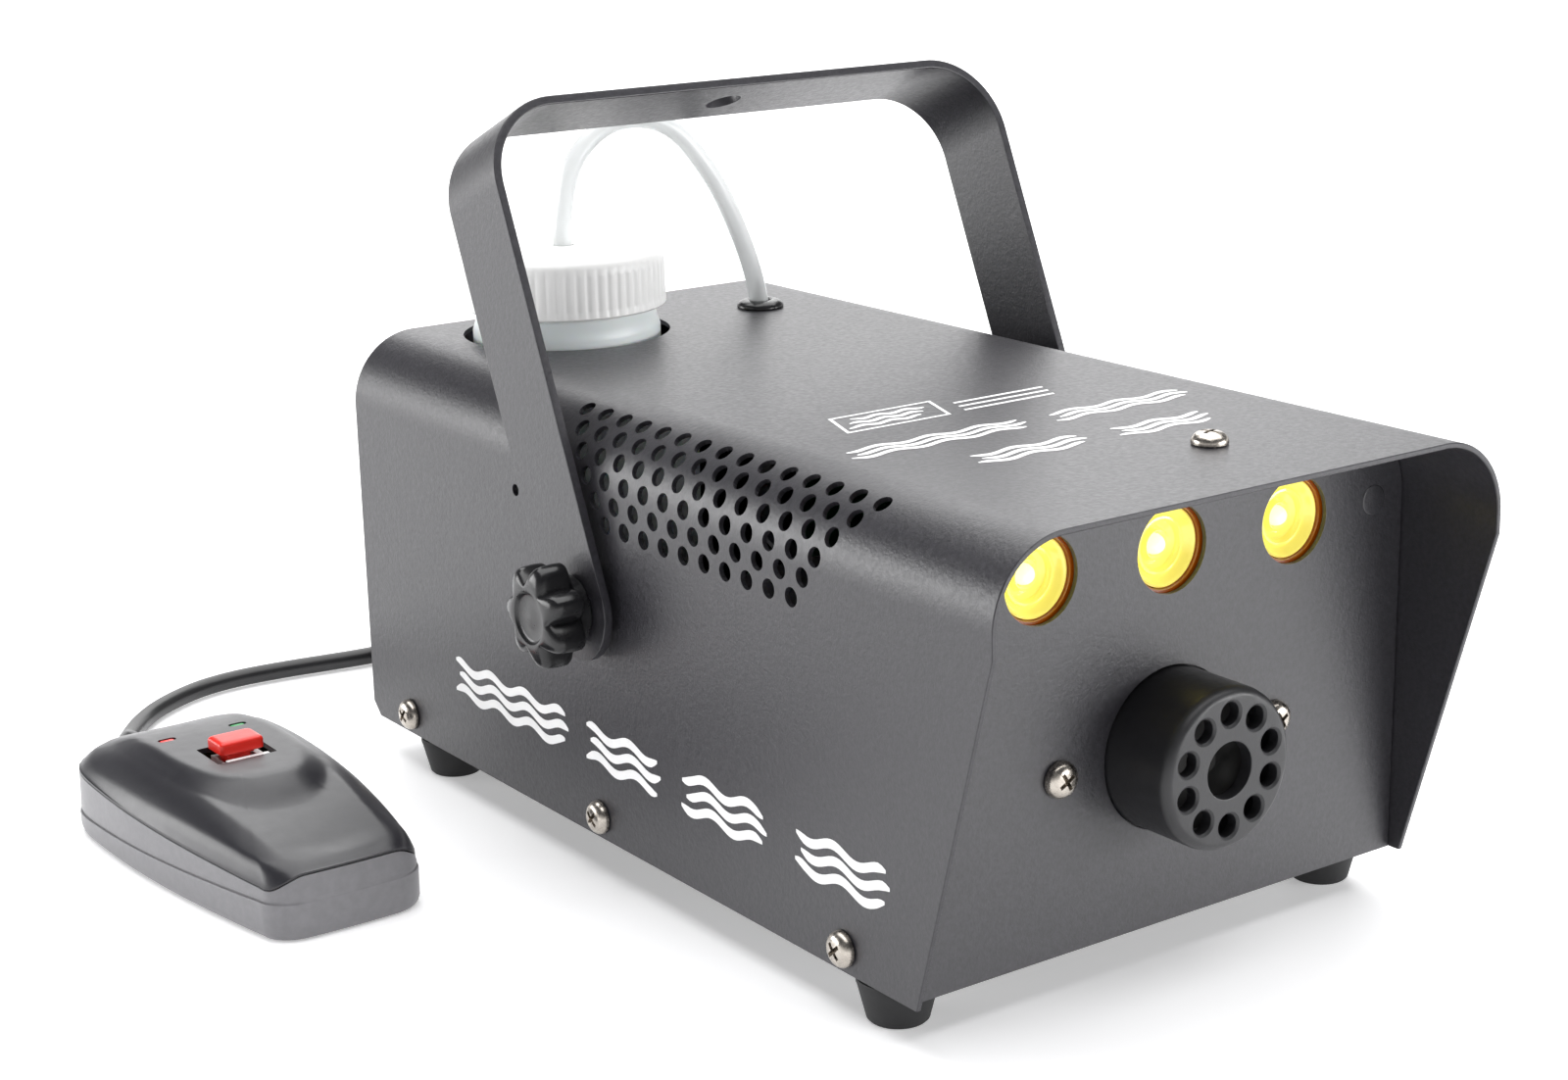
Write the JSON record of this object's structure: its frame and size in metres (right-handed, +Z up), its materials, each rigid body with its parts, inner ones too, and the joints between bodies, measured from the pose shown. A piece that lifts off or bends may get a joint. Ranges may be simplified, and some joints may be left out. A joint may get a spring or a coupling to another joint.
{
  "type": "fog machine",
  "caption": "Small corded fog machine: sheet-metal housing with hooded front, perforated nozzle, amber LED windows, tilting yoke handle, filler tank and wired push-button handset.",
  "frame": {"origin": "floor point under the centre of the bounding box of the machine and its handset, without the handset's cable", "axes": "+Z up, the nozzle blows towards -Y, +X to the right when the nozzle is seen from the front"},
  "size_m": [0.2488, 0.339, 0.1812],
  "materials": {
    "powder_coat": "fine textured satin",
    "black_plastic": "gloss",
    "nozzle_cover": "matte",
    "steel": "zinc plated",
    "nickel": "nickel plated",
    "aluminium": "cast",
    "brass": "turned",
    "polyethylene": "natural translucent",
    "white_plastic": "satin",
    "rubber": "matte",
    "amber_lens": "clear amber",
    "circuit_board": "solder mask",
    "handset_light": "satin",
    "handset_dark": "semi-gloss",
    "red_plastic": "satin",
    "green_led": "clear"
  },
  "bodies": {
    "housing": {"cover": "powder_coat", "base_tray": "powder_coat", "front_panel": "powder_coat", "rear_panel": "powder_coat", "fuse_holder": "black_plastic", "remote_socket": "black_plastic", "remote_plug": "black_plastic", "power_switch_frame": "black_plastic", "mains_inlet": "black_plastic", "nozzle_shroud": "nozzle_cover", "pivot_washer_left": "nozzle_cover", "pivot_washer_right": "nozzle_cover", "hose_grommet": "nozzle_cover", "pivot_nut_left": "steel", "pivot_nut_right": "steel", "heater_bracket_front": "steel", "heater_bracket_rear": "steel", "thermostat": "steel", "pump_body": "steel", "pump_bracket": "steel", "screw_left_front": "nickel", "screw_left_middle": "nickel", "screw_left_rear": "nickel", "screw_right_front": "nickel", "screw_right_middle": "nickel", "screw_right_rear": "nickel", "screw_top": "nickel", "screw_front_left": "nickel", "screw_front_right": "nickel", "heater_block": "aluminium", "nozzle_tip": "brass", "pump_feed_pipe": "brass", "fluid_tank": "polyethylene", "foot_front_left": "rubber", "foot_front_right": "rubber", "foot_rear_left": "rubber", "foot_rear_right": "rubber", "remote_cable_run_a": "rubber", "remote_cable_run_b": "rubber", "remote_cable_coil": "rubber", "led_lens_left": "amber_lens", "led_lens_middle": "amber_lens", "led_lens_right": "amber_lens", "led_board": "circuit_board", "control_board": "circuit_board"},
    "yoke": {"yoke": "powder_coat"},
    "knob_left": {"knob_left": "black_plastic"},
    "knob_right": {"knob_right": "black_plastic"},
    "fluid_line": {"cap_seal": "rubber", "fluid_hose": "polyethylene", "hose_filter": "steel"},
    "tank_cap": {"tank_cap": "white_plastic"},
    "power_rocker": {"power_rocker": "red_plastic"},
    "handset": {"remote_base_shell": "handset_light", "remote_top_shell": "handset_dark", "remote_switch_body": "white_plastic", "remote_led_red": "red_plastic", "remote_led_green": "green_led", "remote_strain_relief": "black_plastic"},
    "handset_button": {"remote_button": "red_plastic"}
  },
  "joints": [
    {"name": "yoke_tilt", "type": "hinge", "parent": "housing", "child": "yoke", "pos_m": [0.0357, 0.00515, 0.068], "axis": [1, 0, 0], "range_deg": [-11, 78]},
    {"name": "knob_left_turn", "type": "hinge", "parent": "housing", "child": "knob_left", "pos_m": [-0.0405, 0.00515, 0.068], "axis": [-1, 0, 0], "continuous": true},
    {"name": "knob_right_turn", "type": "hinge", "parent": "housing", "child": "knob_right", "pos_m": [0.1119, 0.00515, 0.068], "axis": [1, 0, 0], "continuous": true},
    {"name": "cap_lift", "type": "slide", "parent": "housing", "child": "fluid_line", "axis": [0, 0, 1], "range_m": [0, 0.022]},
    {"name": "cap_turn", "type": "hinge", "parent": "fluid_line", "child": "tank_cap", "pos_m": [0.0121, 0.0923, 0.1204], "axis": [0, 0, 1], "continuous": true},
    {"name": "power_rocker_press", "type": "hinge", "parent": "housing", "child": "power_rocker", "pos_m": [0.0757, 0.1185, 0.076], "axis": [1, 0, 0], "range_deg": [0, 16]},
    {"name": "handset_lift", "type": "slide", "parent": "housing", "child": "handset", "axis": [0, 0, 1], "range_m": [0, 0.03]},
    {"name": "handset_button_press", "type": "slide", "parent": "handset", "child": "handset_button", "axis": [0, 0, -1], "range_m": [0, 0.0018], "stiffness_N_per_m": 200, "springref_m": -0.001}
  ]
}
